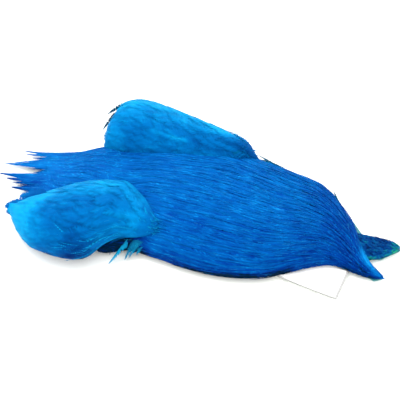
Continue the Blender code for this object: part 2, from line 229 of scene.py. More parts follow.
class Form:
    """A puffed body whose sections across X are flattened ovals, read at many places at once."""

    def __init__(self, stations, fullness, grow=0.0):
        table = np.array(stations, float)
        self.keys = table[:, 0]
        self.columns = table[:, 1:]
        self.slopes = np.zeros_like(self.columns)
        last = len(self.keys) - 1
        for k in range(last + 1):
            a, b = max(0, k - 1), min(last, k + 1)
            self.slopes[k] = (self.columns[b] - self.columns[a]) / (self.keys[b] - self.keys[a])
        self.fullness = fullness
        self.grow = grow

    def section(self, x):
        i = np.clip(np.searchsorted(self.keys, x, side="right") - 1, 0, len(self.keys) - 2)
        span = (self.keys[i + 1] - self.keys[i])[..., None]
        t = np.clip((x - self.keys[i])[..., None] / span, 0, 1)
        low, high = self.columns[i], self.columns[i + 1]
        first, second = self.slopes[i] * span, self.slopes[i + 1] * span
        rise = high - low
        row = low + t * (first + t * ((3 * rise - 2 * first - second) + t * (first + second - 2 * rise)))
        grow = self.grow * np.array([-1, 1, -0.25, 0, 1])
        return np.moveaxis(row + grow, -1, 0)

    def point(self, x, turn):
        near, far, low, waist, top = self.section(x)
        angle = np.clip(turn, -2, 2) * math.pi / 2
        power = 2 / self.fullness
        across = np.sign(np.sin(angle)) * np.abs(np.sin(angle)) ** power
        rise = np.sign(np.cos(angle)) * np.abs(np.cos(angle)) ** power
        height = np.where(rise > 0, top - waist, waist - low)
        return np.stack([x, (near + far) / 2 + across * (far - near) / 2, waist + rise * height], -1)

    def across(self, x, y):
        """How far over the form a place lies: -1 at its near edge and 1 at its far edge."""
        near, far = self.section(x)[:2]
        return (2 * y - near - far) / (far - near)

    def fall(self, x, y, z):
        """How steeply the far side of the upper half falls away at a place."""
        near, far, low, waist, top = self.section(x)
        over = np.clip(self.across(x, y), 0.0, 1.0)
        rise = np.clip((z - waist) / (top - waist), 0.02, 1.0)
        return (top - waist) / (far - near) * 2 * (over / rise) ** (self.fullness - 1)

    def turn_at(self, x, y):
        """The turn at which the upper side passes over a place."""
        across = np.clip(self.across(x, y), -0.97, 0.97)
        return np.sign(across) * np.arcsin(np.abs(across) ** (self.fullness / 2)) * 2 / math.pi

    def slopes_at(self, x, turn):
        """How the point moves for a millimetre of x and for a whole turn."""
        along = self.point(x + 0.5, turn) - self.point(x - 0.5, turn)
        across = (self.point(x, turn + 0.02) - self.point(x, turn - 0.02)) / 0.04
        return along, across

    def out(self, x, turn):
        along, across = self.slopes_at(x, turn)
        return unit(np.cross(along, across))

    def upper(self, x, y, rise):
        """The place on the upper side over x and y, raised by so much."""
        x, y = np.array(float(x)), np.array(float(y))
        return self.point(x, self.turn_at(x, y)) + (0, 0, rise)

    def spots(self, x, spacing, turns, row):
        """Turns that are evenly spaced round the form at x, set off by half in every other row."""
        marks = np.linspace(turns[0], turns[1], 121)
        rim = self.point(np.full(121, x), marks)
        arc = np.concatenate([[0], np.cumsum(np.linalg.norm(np.diff(rim, axis=0), axis=1))])
        count = max(6, int(arc[-1] / spacing))
        at = (np.arange(count) + 0.25 + 0.5 * (row % 2)) / count + random.normal(0, 0.26 / count, count)
        return np.interp(np.clip(at, 0.0, 1.0) * arc[-1], arc, marks)


HACKLE_FORM = Form(HACKLE, HACKLE_FULLNESS)
RIGHT_FORM = Form(RIGHT_SHOULDER, SHOULDER_FULLNESS)
LEFT_FORM = Form(LEFT_SHOULDER, SHOULDER_FULLNESS)
HEAD_FORM = Form(LEFT_HEAD_POINT, HEAD_FULLNESS)


def rooted_rows(form, first, last, turns, spacing, step, stray):
    """Roots in rows down a form, each row set off from the last; stray is how far off they lie.

    spacing and step give the room between roots and between rows at x."""
    roots = []
    x, row = first, 0
    while x > last:
        for turn in form.spots(x, spacing(x), turns, row):
            roots.append((x + random.normal(0, stray), turn))
        x -= step(x)
        row += 1
    return np.array(roots).T


class Template:
    """One feather in its own terms, as rows of s, u, a and h: s runs from root to tip, u is sideways
    in half widths, a is sideways in millimetres and h is height in millimetres. Each row also says
    how near the edge it is, the barb's own random number, and 1 on the shaft."""

    def __init__(self):
        self.rows, self.says, self.faces = [], [], []

    def add(self, rows, says, faces):
        base = len(self.rows)
        self.rows += rows
        self.says += says
        self.faces += [(a + base, b + base, c + base) for a, b, c in faces]

    def done(self):
        self.rows = np.array(self.rows, float)
        self.says = np.array(self.says, float)
        self.faces = np.array(self.faces, int)
        return self


def hackle_outline(s):
    """Half width of a neck hackle: quickly full, then a long taper to a point."""
    return np.clip(s / 0.16, 0, 1) ** 0.7 * np.clip(1 - s, 0, 1) ** 0.62 * 1.12


def shoulder_outline(s):
    """Half width of a broad body feather with a round tip."""
    return np.clip(s / 0.3, 0, 1) ** 0.8 * np.clip(1 - s ** 2.6, 0, 1) ** 0.5


def down_outline(s):
    """Half width of a small loose feather."""
    return np.clip(s / 0.25, 0, 1) ** 0.7 * np.clip(1 - s, 0, 1) ** 0.35


def add_shaft(made, width):
    """The shaft, a low ridge that thins towards the tip; width is half of its width at the root."""
    rings = 9
    rows, says, faces = [], [], []
    for k in range(rings):
        s = 0.96 * k / (rings - 1)
        half = width * (1 - 0.8 * s)
        rows += [(s, 0, -half, 0.02), (s, 0, 0, 0.05 + half), (s, 0, half, 0.02)]
        says += [(0, 0.5, 1)] * 3
    for k in range(rings - 1):
        for j in range(2):
            a = 3 * k + j
            faces += [(a, a + 3, a + 1), (a + 1, a + 3, a + 4)]
    made.add(rows, says, faces)


def make_template(
    seed, outline, barbs, sweep, first=0.1, parts=2, ripple=0.05, shaft=0.1, split=0.12, fill=0.56
):
    """A feather with this many barbs on each side, each a strip of so many parts.

    sweep above 1 slants the barbs towards the tip, first is where on the shaft they begin, ripple
    is how unevenly they lie, split is how often the vane parts, and fill is how much of its room
    each barb takes up."""
    draw = np.random.default_rng(seed)
    made = Template()
    step = (0.985 - first) / barbs
    for side in (-1, 1):
        group_s, group_h = 0.0, 0.0
        for k in range(barbs):
            if draw.random() < split:
                group_s = draw.normal(0, 0.9) * step
                group_h = draw.normal(0, 0.6) * ripple
            root = first + step * (k + 0.5)
            tip = 1 - (1 - root) ** sweep + group_s + draw.normal(0, 0.3) * step
            tip = min(max(tip, root + 0.2 * step), 1.0)
            reach = float(outline(np.array(tip))) * (1 + draw.normal(0, 0.05))
            if root > 0.93:
                reach *= 0.6
            spread = sweep * max(1e-3, 1 - root) ** (sweep - 1)
            tilt = ripple * (0.5 + 0.7 * draw.random())
            own = draw.random()
            rows, says, faces = [], [], []
            for part in range(parts):
                t = part / parts
                s = root + (tip - root) * (0.75 * t + 0.25 * t * t)
                u = side * reach * (1.18 * t - 0.18 * t * t)
                half = step * (1 + (spread - 1) * t) * fill * (1 - 0.45 * t ** 2)
                h = group_h * t
                rows += [(s - half, u, 0, h - tilt), (s + half, u, 0, h + tilt)]
                says += [(t, own, 0), (t, own, 0)]
            rows.append((tip, side * reach, 0, group_h + draw.normal(0, 0.5) * ripple))
            says.append((1, own, 0))
            for part in range(parts - 1):
                a = 2 * part
                faces += [(a, a + 1, a + 3), (a, a + 3, a + 2)]
            faces.append((2 * parts - 2, 2 * parts - 1, 2 * parts))
            if side < 0:
                faces = [(a, c, b) for a, b, c in faces]
            made.add(rows, says, faces)
    add_shaft(made, shaft)
    return made.done()


def variants(seed, count, *about, **more):
    return [make_template(seed + k, *about, **more) for k in range(count)]


def down_templates(seed, count, barbs):
    return variants(
        seed, count, down_outline, barbs, 1.3,
        first=0.05, parts=3, ripple=0.1, shaft=0.06, split=0.4, fill=0.4,
    )


def strand_templates(seed):
    """Feathers so open that they read as a few long barbs."""
    return variants(seed, 5, hackle_outline, 16, 1.15, first=0.08, shaft=0.06, split=0.4, fill=0.3)


# What a flock says of each of its feathers
FLOCK_COLUMNS = (
    "root_x", "root_turn", "tip_x", "tip_turn", "width", "bend", "lift", "sink", "camber", "curl", "twist"
)


def lay(form, template, flock):
    """Places every row of the template for every feather of the flock, over a form."""
    s, u, a, h = template.rows.T
    root_x, root_turn, tip_x, tip_turn, width, bend, lift, sink, camber, curl, twist = (
        flock[name][:, None] for name in FLOCK_COLUMNS
    )
    run = tip_x - root_x
    x = root_x + run * s
    drift = tip_turn - root_turn
    turn = root_turn + drift * s + bend * np.sin(math.pi * s)
    sway = drift + bend * math.pi * np.cos(math.pi * s)
    along, across = form.slopes_at(x, turn)
    way = unit(along * run[..., None] + across * sway[..., None])
    out = unit(np.cross(along, across))
    side = np.cross(out, way)
    aa, ab, bb = dot(along, along), dot(along, across), dot(across, across)
    sa, sb = dot(side, along), dot(side, across)
    scale = np.maximum(aa * bb - ab * ab, 1e-6)
    lateral = u * width / 2 + a
    x2 = x + lateral * (bb * sa - ab * sb) / scale
    turn2 = np.clip(turn + lateral * (aa * sb - ab * sa) / scale, -1.95, 1.95)
    place = form.point(x2, turn2)
    height = lift + h - sink * (1 - s) ** 1.15 - camber * (u * u) + curl * s ** 4 + twist * u * s
    place = place + form.out(x2, turn2) * height[..., None]
    place[..., 2] = np.maximum(place[..., 2], FLOOR_GAP)
    return place


def part_of(flock, mask):
    return {name: values[mask] for name, values in flock.items()}


def along_path(points, template, width, camber=0.3, roll=0.0):
    """Places one feather's rows along a smooth path of four points in the open."""
    s, u, a, h = template.rows.T
    p0, p1, p2, p3 = (np.array(p, float) for p in points)
    t = s[:, None]
    place = (1 - t) ** 3 * p0 + 3 * t * (1 - t) ** 2 * p1 + 3 * t * t * (1 - t) * p2 + t ** 3 * p3
    way = unit(3 * (1 - t) ** 2 * (p1 - p0) + 6 * t * (1 - t) * (p2 - p1) + 3 * t * t * (p3 - p2))
    side = unit(np.cross(np.array([0, 0, 1.0]), way))
    out = np.cross(way, side)
    turn = math.radians(roll)
    side, out = (
        side * math.cos(turn) + out * math.sin(turn),
        out * math.cos(turn) - side * math.sin(turn),
    )
    lateral = u * width / 2 + a
    place = place + side * lateral[:, None] + out * (h - camber * u * u)[:, None]
    place[:, 2] = np.maximum(place[:, 2], FLOOR_GAP)
    return place


class Piece:
    """Collects feathers into one mesh with its colours and its map."""

    def __init__(self):
        self.places, self.faces, self.feather, self.shade, self.map = [], [], [], [], []
        self.base = 0
        self.cells = 0

    def add(self, place, template, tone, shade):
        """place is one set of rows for each feather; tone is one number for each, and shade is
        one for each or one for each row."""
        count, rows = place.shape[:2]
        self.places.append(place.reshape(-1, 3))
        offsets = self.base + rows * np.arange(count)
        self.faces.append((template.faces[None] + offsets[:, None, None]).reshape(-1, 3))
        s, u, a, h = template.rows.T
        edge, own, shaft = template.says.T
        full = np.ones((count, rows))
        tone = np.asarray(tone, float)[:, None] * full
        shade = np.asarray(shade, float)
        shade = shade if shade.ndim == 2 else shade[:, None] * full
        self.feather.append(np.stack([tone, full * s, full * edge, full * own], -1).reshape(-1, 4))
        self.shade.append(np.stack([shade, full * shaft, 0 * full, full], -1).reshape(-1, 4))
        cells = (self.cells + np.arange(count))[:, None] * full
        across = 0.5 + 0.46 * np.clip(u, -1, 1) + 0.01 * np.sign(a)
        inside = [across * full, (0.02 + 0.96 * s) * full, cells]
        self.map.append(np.stack(inside, -1).reshape(-1, 3))
        self.base += count * rows
        self.cells += count

    def add_flock(self, form, templates, flock, shade_of):
        count = len(flock["root_x"])
        which = random.integers(0, len(templates), count)
        tone = random.uniform(0, 1, count)
        for k, template in enumerate(templates):
            mask = which == k
            if mask.any():
                place = lay(form, template, part_of(flock, mask))
                self.add(place, template, tone[mask], shade_of(*np.moveaxis(place, -1, 0)))

    def build(self, name, look):
        places = metres(np.concatenate(self.places))
        faces = np.concatenate(self.faces)
        mesh = bpy.data.meshes.new(name)
        mesh.vertices.add(len(places))
        mesh.vertices.foreach_set("co", places.astype(np.float32).ravel())
        mesh.loops.add(faces.size)
        mesh.loops.foreach_set("vertex_index", faces.astype(np.int32).ravel())
        mesh.polygons.add(len(faces))
        mesh.polygons.foreach_set("loop_start", np.arange(0, faces.size, 3, dtype=np.int32))
        mesh.update(calc_edges=True)
        mesh.shade_smooth()
        for label, values in (("feather", self.feather), ("shade", self.shade)):
            layer = mesh.attributes.new(label, "FLOAT_COLOR", "POINT")
            layer.data.foreach_set("color", np.concatenate(values).astype(np.float32).ravel())
        where = np.concatenate(self.map)[faces.ravel()]
        grid = math.ceil(math.sqrt(self.cells))
        column, row = where[:, 2] % grid, where[:, 2] // grid
        layer = mesh.uv_layers.new(name="OFBake")
        uv = np.stack([(column + where[:, 0]) / grid, (row + where[:, 1]) / grid], -1)
        layer.data.foreach_set("uv", uv.astype(np.float32).ravel())
        return add_object(name, mesh, look)


def add_object(name, mesh, look):
    mesh.materials.append(look)
    made = bpy.data.objects.new(name, mesh)
    bpy.context.scene.collection.objects.link(made)
    return made


def form_template(around, rows):
    """A closed sheet over a whole form, as rows of s (along) and u (turn over two)."""
    made = Template()
    points, says, faces = [], [], []
    for row in range(rows):
        for k in range(around):
            points.append((row / (rows - 1), -1 + 2 * k / around, 0, 0))
            says.append((0.5, 0.5, 0))
    for row in range(rows - 1):
        for k in range(around):
            a, b = row * around + k, row * around + (k + 1) % around
            faces += [(a, b, b + around), (a, b + around, a + around)]
    for row in (0, rows - 1):
        first = row * around
        fan = [(first, first + k + 1, first + k) for k in range(1, around - 1)]
        faces += fan if row == 0 else [(a, c, b) for a, b, c in fan]
    made.add(points, says, faces)
    return made.done()


def add_under_down(piece, stations, fullness, sink, shade, ends=2.0):
    """The down that the feathers stand in, which closes the view between them; it is dark partly as
    down and partly as painted shade between the feathers.
    """
    form = Form(stations, fullness, grow=-sink)
    sheet = form_template(48, 60)
    s, u = sheet.rows[:, 0], sheet.rows[:, 1]
    x = form.keys[0] + ends + (form.keys[-1] - form.keys[0] - 2 * ends) * s
    wave = np.sin(x * 1.9 + 5 * u) * np.sin(u * 37 + x * 0.6)
    place = form.point(x, u * 2) + form.out(x, u * 2) * (0.25 * wave)[:, None]
    place[:, 2] = np.maximum(place[:, 2], FLOOR_GAP)
    piece.add(place[None], sheet, [0.3], [shade])


def add_loose_down(piece, form, templates, count, xs, turns, length, aim, shade, stout=(0.3, 0.5)):
    """Small downy feathers that stand out from a form; aim is their mean heading and its spread in
    degrees, where 0 points to the hackle tips, and stout is their width for their length."""
    root_x = random.uniform(*xs, count)
    root_turn = random.uniform(*turns, count)
    heading = np.radians(random.normal(*aim, count))
    long = random.uniform(*length, count)
    flock = dict(
        root_x=root_x, root_turn=root_turn, tip_x=root_x - long * np.cos(heading),
        tip_turn=root_turn + long * np.sin(heading) / 26, width=long * random.uniform(*stout, count),
        bend=random.normal(0, 0.04, count), lift=random.uniform(-0.4, 0.6, count),
        sink=np.full(count, 1.2), camber=random.uniform(-0.3, 0.6, count),
        curl=random.uniform(-0.5, 2.2, count), twist=random.normal(0, 0.5, count),
    )
    piece.add_flock(form, templates, flock, lambda x, y, z: shade + 0 * x)


# Looks


def nodes_of(name):
    made = bpy.data.materials.new(name)
    made.use_nodes = True
    tree = made.node_tree
    return made, tree, tree.nodes["Principled BSDF"]


def put(tree, kind, **values):
    node = tree.nodes.new(kind)
    for key, value in values.items():
        setattr(node, key, value)
    return node


def maths(tree, operation, one, other=0.0):
    node = put(tree, "ShaderNodeMath", operation=operation)
    for socket, value in zip(node.inputs, (one, other)):
        if isinstance(value, (int, float)):
            socket.default_value = value
        else:
            tree.links.new(value, socket)
    return node.outputs[0]


def times(tree, one, other):
    return maths(tree, "MULTIPLY", one, other)


def swing(tree, value, middle, amount):
    """How far a value lies from its middle, times an amount."""
    return times(tree, maths(tree, "SUBTRACT", value, middle), amount)


def ramp_of(tree, value, colours, interpolation="EASE"):
    ramp = put(tree, "ShaderNodeValToRGB")
    ramp.color_ramp.interpolation = interpolation
    stops = ramp.color_ramp.elements
    while len(stops) < len(colours):
        stops.new(0.5)
    for stop, (at, colour) in zip(stops, colours):
        stop.position = at
        stop.color = (*colour, 1)
    tree.links.new(value, ramp.inputs["Fac"])
    return ramp.outputs["Color"]


def feather_look(
    name, colours, shaft_colour, roughness=0.55, mottle=0.5, mottle_scale=90.0,
    tone_part=0.22, barb_part=0.14, rim_part=0.0, painted_glints=0.22, dyed_shafts=0.85,
):
    """A dyed feather: a ramp of colours read by the feather's shade, which holds painted light and
    shade, by its barbs and a mottling.

    Some barbs are made lighter as painted glints. Each feather is darker towards its root, as
    painted shade under the feathers that lie over it. dyed_shafts is the share of feathers whose
    shaft has the dye's colour, and the rest have shaft_colour here and there along it: a pale shaft,
    partly its own colour and partly painted glints."""
    made, tree, shader = nodes_of(name)
    feather = put(tree, "ShaderNodeAttribute", attribute_name="feather")
    shade = put(tree, "ShaderNodeAttribute", attribute_name="shade")
    split = put(tree, "ShaderNodeSeparateColor")
    tree.links.new(feather.outputs["Color"], split.inputs["Color"])
    tone, along, edge = split.outputs
    split_shade = put(tree, "ShaderNodeSeparateColor")
    tree.links.new(shade.outputs["Color"], split_shade.inputs["Color"])
    base, shaft = split_shade.outputs[0], split_shade.outputs[1]

    mixed = maths(tree, "ADD", times(tree, feather.outputs["Alpha"], 17.3), times(tree, tone, 31.7))
    barb = maths(tree, "FRACT", mixed)
    # painted glints: a few barbs made lighter, as if they catch the light
    painted_glint = times(tree, maths(tree, "GREATER_THAN", barb, 0.93), painted_glints)

    place = put(tree, "ShaderNodeTexCoord")
    mottling = put(tree, "ShaderNodeTexNoise")
    mottling.inputs["Scale"].default_value = mottle_scale
    mottling.inputs["Detail"].default_value = 3.0
    tree.links.new(place.outputs["Object"], mottling.inputs["Vector"])

    value = base
    rim = times(tree, times(tree, edge, edge), -rim_part)
    # darker towards the root: painted shade under the feathers that lie over it
    for part in (
        swing(tree, tone, 0.5, tone_part), swing(tree, barb, 0.5, barb_part),
        swing(tree, along, 0.8, 0.2), swing(tree, mottling.outputs["Fac"], 0.5, mottle), painted_glint, rim,
    ):
        value = maths(tree, "ADD", value, part)
    colour = ramp_of(tree, value, colours)
    # pale shafts, partly their own colour and partly painted glints in short stretches
    lot = maths(tree, "FRACT", times(tree, tone, 57.1))
    pale = times(tree, shaft, maths(tree, "GREATER_THAN", lot, dyed_shafts))
    wave = maths(tree, "ADD", times(tree, along, 16.0), times(tree, tone, 90.0))
    glint_window = maths(tree, "GREATER_THAN", maths(tree, "SINE", wave), 0.55)
    amount = times(tree, pale, times(tree, glint_window, 0.8))
    mix = put(tree, "ShaderNodeMix", data_type="RGBA")
    tree.links.new(amount, mix.inputs["Factor"])
    tree.links.new(colour, mix.inputs["A"])
    mix.inputs["B"].default_value = (*shaft_colour, 1)
    tree.links.new(mix.outputs["Result"], shader.inputs["Base Color"])
    shader.inputs["Roughness"].default_value = roughness
    shader.inputs["Specular IOR Level"].default_value = 0.03
    shader.inputs["Specular Tint"].default_value = (0.0, 0.4, 1.0, 1)
    return made


def skin_look():
    """Dried skin, stained unevenly by the dye and a little rough."""
    made, tree, shader = nodes_of("dried_skin")
    place = put(tree, "ShaderNodeTexCoord")
    noise = put(tree, "ShaderNodeTexNoise")
    noise.inputs["Scale"].default_value = 300
    noise.inputs["Detail"].default_value = 6.0
    tree.links.new(place.outputs["Object"], noise.inputs["Vector"])
    colour = ramp_of(tree, noise.outputs["Fac"], SKIN_STAIN, "LINEAR")
    tree.links.new(colour, shader.inputs["Base Color"])
    lump = put(tree, "ShaderNodeBump")
    lump.inputs["Strength"].default_value = 0.6
    lump.inputs["Distance"].default_value = 0.0002
    tree.links.new(noise.outputs["Fac"], lump.inputs["Height"])
    tree.links.new(lump.outputs["Normal"], shader.inputs["Normal"])
    shader.inputs["Roughness"].default_value = 0.5
    return made


# Neck hackle


def hackle_length(x):
    rows = [-62, -20, 10, 40, 60, 80, 100, 115, 130, 146]
    return np.interp(x, rows, [84, 80, 73, 64, 56, 46, 35, 27, 20, 12])


def hackle_width(x):
    return np.interp(x, [-62, -20, 10, 60, 80, 100, 124, 146], [7.4, 6.4, 5.4, 4.2, 3.4, 2.9, 2.4, 2.1])


def hackle_shade(x, y, z):
    """How light the colour is: darker at the neck and lighter at the left end, with painted shade
    along the near rim and in the gap under the near patch, and a painted highlight on the fold along
    the near point of the fork."""
    over = HACKLE_FORM.across(x, y)
    # painted highlight on the fold along the near point
    fold_highlight = ease((x - 121.5) / 7) * ease((over + 0.65 + 0.06 * (x - 131)) / 1.1)
    neck = ease((x - 62) / 58)
    low = ease((-y - 8) / 45) * ease((x + 40) / 60)
    left = ease((-x - 98) / 30) * (1.7 * ease((y + 24) / 16) - 0.7)
    # painted shade along the near rim, low down by the floor
    rim = 0.25 * ease((7 - z) / 5) * ease((-0.8 - over) / 0.15)
    rim += (
        ease((12 - z) / 6) * ease((-0.87 - over) / 0.13) * (0.25 + 0.3 * ease((x + 15) / 30))
        * ease((x + 60) / 30) * ease((90 - x) / 20)
    )
    # painted shade in the gap under the near patch
    gap_shade = ease((-y - 46) / 12) * ease((x + 70) / 8) * ease((-12 - x) / 26)
    shade = 0.62 - 0.27 * neck - 0.13 * low + 0.12 * left + 0.68 * fold_highlight - rim - 0.64 * gap_shade
    return shade + dye_and_shade_spots(x, y)


def hackle_flock():
    """Feathers rooted from the near point to the shoulders, closest at the neck."""
    root_x, root_turn = rooted_rows(
        HACKLE_FORM, 145.5, -64, (-1.45, 1.4),
        spacing=lambda x: 0.7 * float(hackle_width(x)),
        step=lambda x: 1.5 + 0.06 * float(hackle_length(x)),
        stray=1.4,
    )
    count = len(root_x)
    tip_x = root_x - hackle_length(root_x) * random.uniform(0.82, 1.12, count)
    tip_x = np.where(tip_x < -125, -125 - random.uniform(0, 6, count), tip_x)
    return dict(
        root_x=root_x, root_turn=root_turn, tip_x=tip_x,
        tip_turn=root_turn * 0.985 + random.normal(0, 0.02, count),
        width=hackle_width(root_x) * random.uniform(0.8, 1.2, count),
        bend=random.normal(0, 0.02, count), lift=random.normal(0.6, 0.08, count),
        sink=np.full(count, 1.3), camber=random.uniform(0.0, 0.12, count),
        curl=random.normal(0.0, 0.14, count), twist=random.normal(0, 0.06, count),
    )


def hackle_templates(seed, count, barbs, sweep, ripple, shaft):
    return variants(seed, count, hackle_outline, barbs, sweep, ripple=ripple, shaft=shaft)


def build_hackle(look):
    """The hackle's feathers in tiers from the near head point on, with what lies under them."""
    flock = hackle_flock()
    # Each tier's name, the x that its roots lie between, and its feathers
    tiers = [
        ("right_head_feathers", 113, 999, hackle_templates(11, 6, 18, 1.3, 0.03, 0.1)),
        ("neck_hackle_head_tier", 62, 113, hackle_templates(21, 8, 22, 1.3, 0.03, 0.12)),
        ("neck_hackle_middle_tier", 5, 62, hackle_templates(31, 8, 36, 1.25, 0.04, 0.14)),
        ("neck_hackle_shoulder_tier", -999, 5, hackle_templates(41, 8, 52, 1.17, 0.05, 0.15)),
    ]
    made = []
    for name, low, high, templates in tiers:
        piece = Piece()
        mask = (flock["root_x"] >= low) & (flock["root_x"] < high)
        piece.add_flock(HACKLE_FORM, templates, part_of(flock, mask), hackle_shade)
        if name == "neck_hackle_shoulder_tier":
            add_under_down(piece, BROAD_HACKLE, HACKLE_FULLNESS, sink=2.4, shade=0.2)
            # Barbs that lie aslant over the left end, and a fringe in the near patch's gap, darkened as
            # painted shade
            add_loose_down(
                piece, HACKLE_FORM, strand_templates(181), 110, xs=(-104, -54), turns=(-0.45, 0.5),
                length=(9, 17), aim=(21, 7), shade=0.95, stout=(0.08, 0.15),
            )
            add_loose_down(
                piece, HACKLE_FORM, down_templates(201, 4, 9), 60, xs=(-58, -26), turns=(-1.15, -0.75),
                length=(4, 8), aim=(-35, 30), shade=0.16, stout=(0.2, 0.4),
            )
        if name == "right_head_feathers":
            add_under_down(piece, NEAR_POINT, HACKLE_FULLNESS, sink=0.9, shade=0.45, ends=0.4)
        made.append(piece.build(name, look))
    return made


def tip_path(end, slope, run, out):
    """Four points from deep in the hackle, over its upper side, to a tip's end."""
    points = []
    for share, rise, widen in ((1.0, -1.8, 1.6), (0.66, 0.2, 1.3), (0.3, 0.4, 0.6)):
        x = end[0] + run * share
        y = end[1] + slope * run * share * (1.15 - 0.45 * share) + out * widen
        points.append(HACKLE_FORM.upper(x, y, rise))
    return (*points, end)


def build_tips(look):
    """The bundles of narrow feathers that the hackle's left end breaks into."""
    templates = variants(61, 8, hackle_outline, 50, 1.2, first=0.08, ripple=0.04, shaft=0.14, split=0.2)
    piece = Piece()
    for tip_x, tip_y, count, spread, slope in WISPS:
        for k in range(count):
            behind = 0.0 if k == 0 else abs(random.normal(0, 9.0))
            off = 0.0 if k == 0 else random.normal(0, 0.4) * spread * (0.15 + behind / 16)
            height = 1.2 + random.uniform(0, 1.0) + 0.05 * behind
            end = np.array([tip_x + behind, tip_y + slope * behind + off, height])
            run = random.uniform(56, 70)
            out = random.normal(0, 0.9) * spread
            template = templates[int(random.integers(0, len(templates)))]
            width = random.uniform(3.8, 5.6)
            path = tip_path(end, slope, run, out)
            place = along_path(path, template, width, 0.2, random.normal(0, 8))
            shade = hackle_shade(*place.T)[None] - 0.25 * ease((template.rows[:, 0] - 0.7) / 0.3)[None]
            piece.add(place[None], template, [random.uniform()], shade)
    return piece.build("neck_hackle_tips", look)


# Shoulder patches


def shoulder_flock(form, turns, row_step, length, width, reach):
    """Broad feathers over a patch; those that come to its left end curl down over it."""
    root_x, root_turn = rooted_rows(
        form, form.keys[-1] + 1, form.keys[0] + 5, turns,
        spacing=lambda x: width * 0.52, step=lambda x: row_step, stray=1.2,
    )
    count = len(root_x)
    tip_x = root_x - length * random.uniform(0.85, 1.15, count)
    stop = form.keys[0] - random.uniform(0, reach, count)
    ended = tip_x < stop
    return dict(
        root_x=root_x, root_turn=root_turn, tip_x=np.maximum(tip_x, stop),
        tip_turn=root_turn * 0.97 + random.normal(0, 0.05, count),
        width=width * random.uniform(0.85, 1.2, count), bend=random.normal(0, 0.03, count),
        lift=random.normal(0.45, 0.08, count), sink=np.full(count, 1.7),
        camber=random.uniform(0.2, 0.5, count),
        curl=np.where(ended, random.normal(-2.0, 0.5, count), random.normal(-0.1, 0.14, count)),
        twist=random.normal(0, 0.12, count),
    )


def right_shade(x, y, z):
    """Painted light along the top and at the left end, painted shade underneath, and darker at the right
    end.
    """
    over = RIGHT_FORM.across(x, y)
    # painted light along the top and at the left end, and painted shade underneath
    lit_top = ease((over + 0.2) / 0.8) * ease((-x - 20) / 45)
    left = ease((-x - 92) / 24) * ease((z - 3) / 8)
    low = ease((11 - z) / 10) * ease((x + 118) / 30)
    right = ease((x + 62) / 30)
    end = ease((x + 36) / 22)
    shade = 0.51 + 0.35 * lit_top + 0.60 * left + 0.18 * right - 0.6 * low - 0.26 * end
    return shade + dye_and_shade_spots(x, y)


def left_shade(x, y, z):
    """Painted light along the top and at the left end, with painted shade in a soft dark line where the
    far side falls away and low down.
    """
    # painted light along the top and at the left end; painted shade where the far side falls away and low
    # down
    lit_top = ease((LEFT_FORM.across(x, y) + 0.2) / 0.8) * ease((36 - x) / 30)
    rim = np.exp(-((LEFT_FORM.fall(x, y, z) - 1.25) / 0.2) ** 2)
    low = ease((20 - z) / 14)
    left = ease((-x - 56) / 25)
    end = ease((x - 8) / 20)
    shade = 0.57 + 0.44 * lit_top - 0.45 * rim - 0.10 * low + 0.24 * left - 0.12 * end
    return shade + dye_and_shade_spots(x, y)


def patch_templates(seed):
    return variants(seed, 8, shoulder_outline, 30, 1.6, first=0.12, parts=3, ripple=0.015, split=0.06)


def build_right_shoulder(look):
    piece = Piece()
    flock = shoulder_flock(RIGHT_FORM, (-1.6, 1.15), row_step=5.0, length=26.0, width=12.0, reach=3.0)
    piece.add_flock(RIGHT_FORM, patch_templates(71), flock, right_shade)
    downs = down_templates(151, 6, 13)
    # Pale strands along the low side, and down at the right end
    add_loose_down(
        piece, RIGHT_FORM, strand_templates(191), 36, xs=(-60, -22), turns=(-1.1, -0.6),
        length=(18, 30), aim=(2, 6), shade=0.9, stout=(0.05, 0.1),
    )
    add_loose_down(
        piece, RIGHT_FORM, downs, 20, xs=(-30, -14), turns=(-1.0, 0.4),
        length=(4, 7), aim=(0, 40), shade=0.9,
    )
    add_loose_down(
        piece, RIGHT_FORM, downs, 26, xs=(-22, -15), turns=(-0.9, 0.6),
        length=(3, 6), aim=(140, 50), shade=0.8, stout=(0.15, 0.3),
    )
    for k, (root, tip, width, bow) in enumerate(LOBES):
        template = make_template(
            161 + k, shoulder_outline, 60, 1.4, first=0.12, parts=3, ripple=0.015, split=0.0, fill=1.0
        )
        piece.add(open_feather(template, root, tip, width, bow, -15), template, [0.5], [0.4])
    add_under_down(piece, RIGHT_SHOULDER, SHOULDER_FULLNESS, sink=2.6, shade=0.5)
    return piece.build("right_shoulder_feathers", look)


def build_left_shoulder(look):
    piece = Piece()
    flock = shoulder_flock(LEFT_FORM, (-1.15, 1.6), row_step=5.2, length=27.0, width=12.5, reach=1.5)
    piece.add_flock(LEFT_FORM, patch_templates(91), flock, left_shade)
    downs = down_templates(151, 6, 13)
    add_loose_down(
        piece, LEFT_FORM, downs, 40, xs=(6, 30), turns=(-0.9, 0.6),
        length=(5, 9), aim=(0, 40), shade=0.5,
    )
    add_loose_down(
        piece, LEFT_FORM, downs, 70, xs=(10, 33), turns=(0.0, 0.85),
        length=(2, 4), aim=(140, 40), shade=0.75,
    )
    add_under_down(piece, LEFT_SHOULDER, SHOULDER_FULLNESS, sink=2.6, shade=0.6, ends=1.0)
    return piece.build("left_shoulder_feathers", look)


# Head point and single feathers


def head_shade(x, y, z):
    """Lighter and greener at the tip and along the near edge."""
    near, far = HEAD_FORM.section(x)[:2]
    from_near = (y - near) / (far - near)
    return 0.36 + 0.34 * ease((x - 142) / 10) + 0.28 * ease((0.16 - from_near) / 0.16)


